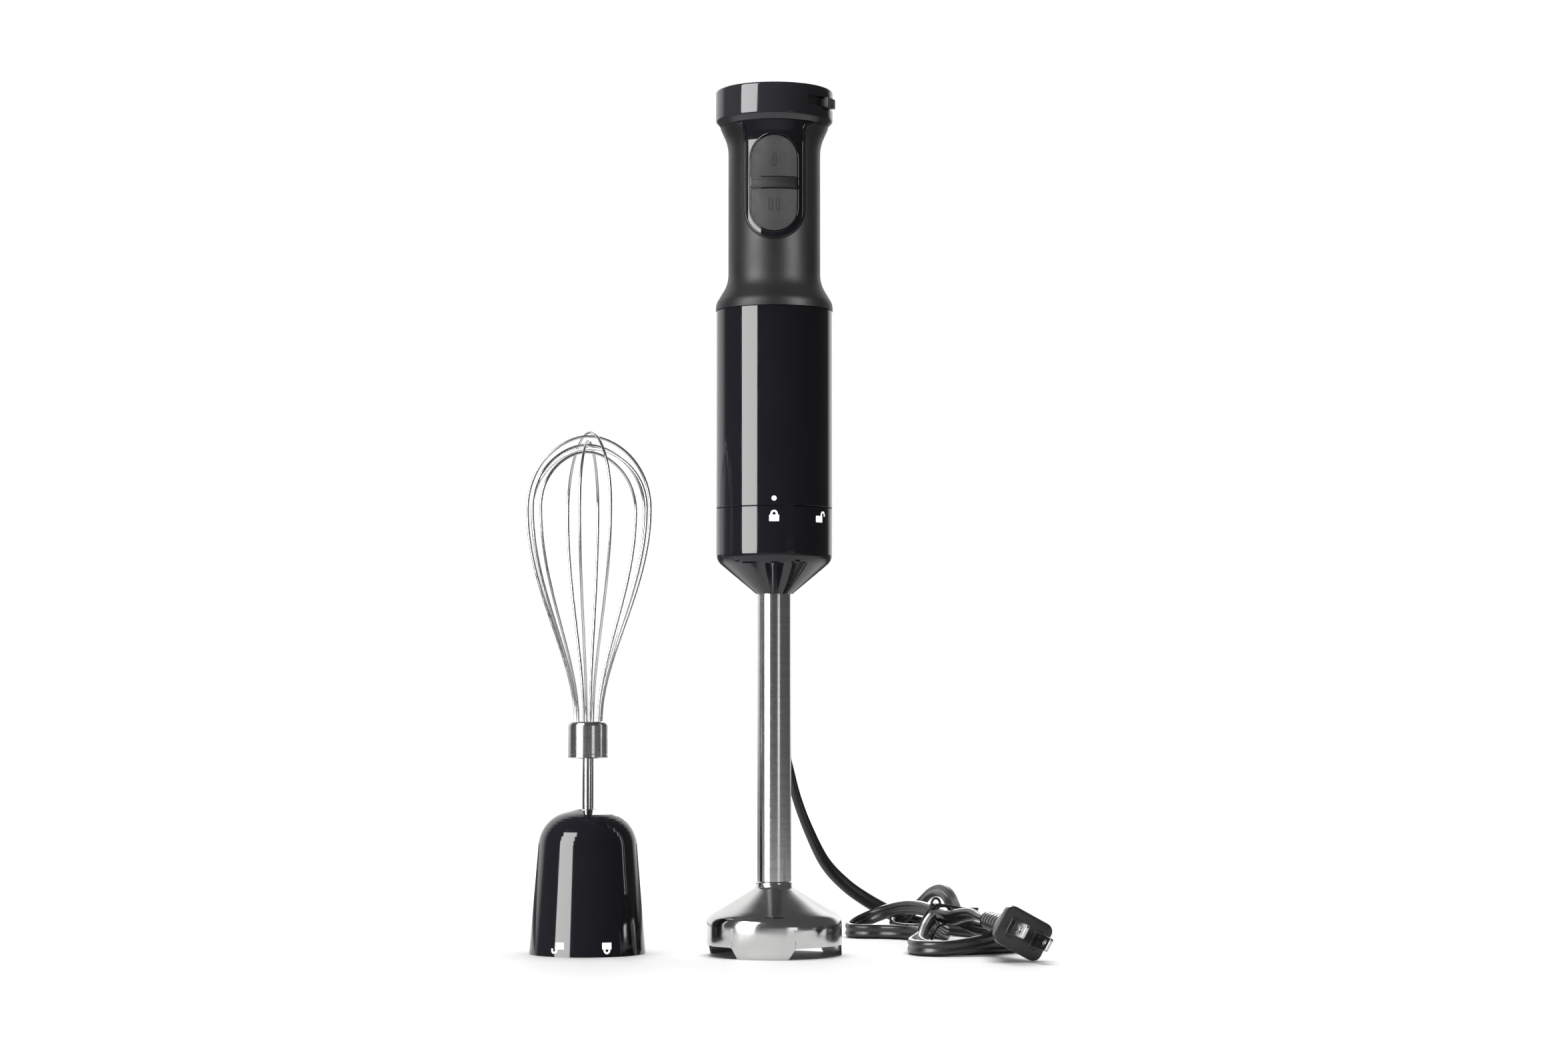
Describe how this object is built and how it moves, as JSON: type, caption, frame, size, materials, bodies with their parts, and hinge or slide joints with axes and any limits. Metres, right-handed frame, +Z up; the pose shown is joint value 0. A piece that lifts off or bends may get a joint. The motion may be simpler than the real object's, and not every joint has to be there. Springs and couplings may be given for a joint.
{
  "type": "immersion blender with whisk attachment",
  "caption": "Stick blender with twist-off wand, two thumb buttons, speed slider and tied mains lead, beside a planetary whisk attachment.",
  "frame": {"origin": "on the floor, under the blender's axis", "axes": "+Z up along the blender's axis, -Y towards the control panel, the whisk attachment stands towards -X"},
  "size_m": [0.2403, 0.204, 0.3999],
  "materials": {
    "gloss_black": "high gloss moulded",
    "grip_rubber": "matte soft-touch",
    "dark_plastic": "satin moulded",
    "grey_plastic": "moulded",
    "white_plastic": "acetal",
    "polished_steel": "polished stainless steel",
    "brushed_steel": "satin stainless steel",
    "spring_steel": "drawn wire",
    "shaft_steel": "ground",
    "motor_steel": "laminated and pressed",
    "copper": "enamelled copper",
    "bronze": "sintered",
    "carbon": "pressed carbon",
    "board": "laminate",
    "switch_plastic": "moulded",
    "seal_rubber": "lip seal",
    "lead_pvc": "satin black PVC",
    "tie_plastic": "glossy black twist tie"
  },
  "bodies": {
    "wand": {"blade_guard": "polished_steel", "wand_tube": "brushed_steel", "lock_collar": "gloss_black", "collar_floor": "grey_plastic", "bush_holders": "white_plastic", "shaft_bushes": "bronze", "shaft_seal": "seal_rubber"},
    "lock_ring": {"bayonet_ring": "grey_plastic"},
    "blade_shaft": {"drive_shaft": "shaft_steel", "shaft_socket": "shaft_steel", "blade_hub": "polished_steel", "blade": "polished_steel", "blade_nut": "polished_steel"},
    "motor_unit": {"motor_housing": "gloss_black", "lock_spigot": "dark_plastic", "grip_core": "dark_plastic", "grip_sleeve": "grip_rubber", "control_panel": "gloss_black", "top_cap": "gloss_black", "lower_bracket": "motor_steel", "upper_bracket": "motor_steel", "motor_bolts": "motor_steel", "stator_core": "motor_steel", "field_coils": "copper", "motor_bearings": "bronze", "brush_holders": "bronze", "carbon_brushes": "carbon", "brush_springs": "spring_steel", "circuit_board": "board", "microswitches": "switch_plastic", "speed_potentiometer": "switch_plastic", "cord_clamp": "dark_plastic", "cord_boot": "lead_pvc", "cord_lead": "lead_pvc", "cord_bundle": "lead_pvc", "cord_tie": "tie_plastic", "plug_body": "lead_pvc", "plug_prongs": "shaft_steel"},
    "armature": {"motor_shaft": "shaft_steel", "armature_core": "motor_steel", "armature_windings": "copper", "commutator": "copper", "cooling_fan": "white_plastic", "drive_dog": "shaft_steel"},
    "speed_slider": {"speed_slider": "dark_plastic"},
    "low_button": {"button_low": "gloss_black"},
    "high_button": {"button_high": "gloss_black"},
    "attachment": {"gear_dome": "gloss_black", "gear_plate": "grey_plastic", "ring_gear": "white_plastic", "gear_bushes": "bronze"},
    "gear_input": {"input_dog": "shaft_steel", "sun_gear": "shaft_steel"},
    "carrier": {"planet_carrier": "shaft_steel"},
    "planet_1": {"planet_gear_1": "white_plastic"},
    "planet_2": {"planet_gear_2": "white_plastic"},
    "planet_3": {"planet_gear_3": "white_plastic"},
    "whisk": {"whisk_stem": "polished_steel", "whisk_ferrule": "brushed_steel", "whisk_wires": "spring_steel"}
  },
  "joints": [
    {"name": "lift_off", "type": "slide", "parent": "wand", "child": "lock_ring", "axis": [0, 0, 1], "range_m": [0, 0.045]},
    {"name": "twist_lock", "type": "hinge", "parent": "lock_ring", "child": "motor_unit", "pos_m": [0, 0, 0.195], "axis": [0, 0, 1], "range_deg": [0, 50]},
    {"name": "motor_spin", "type": "hinge", "parent": "motor_unit", "child": "armature", "pos_m": [0, 0, 0.25], "axis": [0, 0, 1], "continuous": true},
    {"name": "blade_spin", "type": "hinge", "parent": "wand", "child": "blade_shaft", "pos_m": [0, 0, 0.1], "axis": [0, 0, 1], "continuous": true},
    {"name": "speed_turn", "type": "hinge", "parent": "motor_unit", "child": "speed_slider", "pos_m": [0, 0, 0.39], "axis": [0, 0, 1], "range_deg": [-21, 34]},
    {"name": "low_press", "type": "slide", "parent": "motor_unit", "child": "low_button", "axis": [0, 1, 0], "range_m": [0, 0.002], "stiffness_N_per_m": 1200, "springref_m": -0.0008},
    {"name": "high_press", "type": "slide", "parent": "motor_unit", "child": "high_button", "axis": [0, 1, 0], "range_m": [0, 0.002], "stiffness_N_per_m": 1200, "springref_m": -0.0008},
    {"name": "attachment_lift", "type": "slide", "parent": "wand", "child": "attachment", "axis": [0, 0, 1], "range_m": [0, 0.12]},
    {"name": "carrier_spin", "type": "hinge", "parent": "attachment", "child": "carrier", "pos_m": [-0.0864, 0.011, 0.05], "axis": [0, 0, 1], "continuous": true},
    {"name": "input_spin", "type": "hinge", "parent": "attachment", "child": "gear_input", "pos_m": [-0.0864, 0.011, 0.025], "axis": [0, 0, 1], "continuous": true},
    {"name": "planet_1_spin", "type": "hinge", "parent": "carrier", "child": "planet_1", "pos_m": [-0.07493, 0.011, 0.031], "axis": [0, 0, 1], "continuous": true},
    {"name": "planet_2_spin", "type": "hinge", "parent": "carrier", "child": "planet_2", "pos_m": [-0.09214, 0.02094, 0.031], "axis": [0, 0, 1], "continuous": true},
    {"name": "planet_3_spin", "type": "hinge", "parent": "carrier", "child": "planet_3", "pos_m": [-0.09214, 0.00106, 0.031], "axis": [0, 0, 1], "continuous": true},
    {"name": "whisk_pull", "type": "slide", "parent": "carrier", "child": "whisk", "axis": [0, 0, 1], "range_m": [0, 0.02]}
  ],
  "couplings": [
    {"joint": "blade_spin", "follows": "motor_spin", "ratio": 1},
    {"joint": "input_spin", "follows": "carrier_spin", "ratio": 4.5},
    {"joint": "planet_1_spin", "follows": "carrier_spin", "ratio": -2.8},
    {"joint": "planet_2_spin", "follows": "carrier_spin", "ratio": -2.8},
    {"joint": "planet_3_spin", "follows": "carrier_spin", "ratio": -2.8}
  ]
}
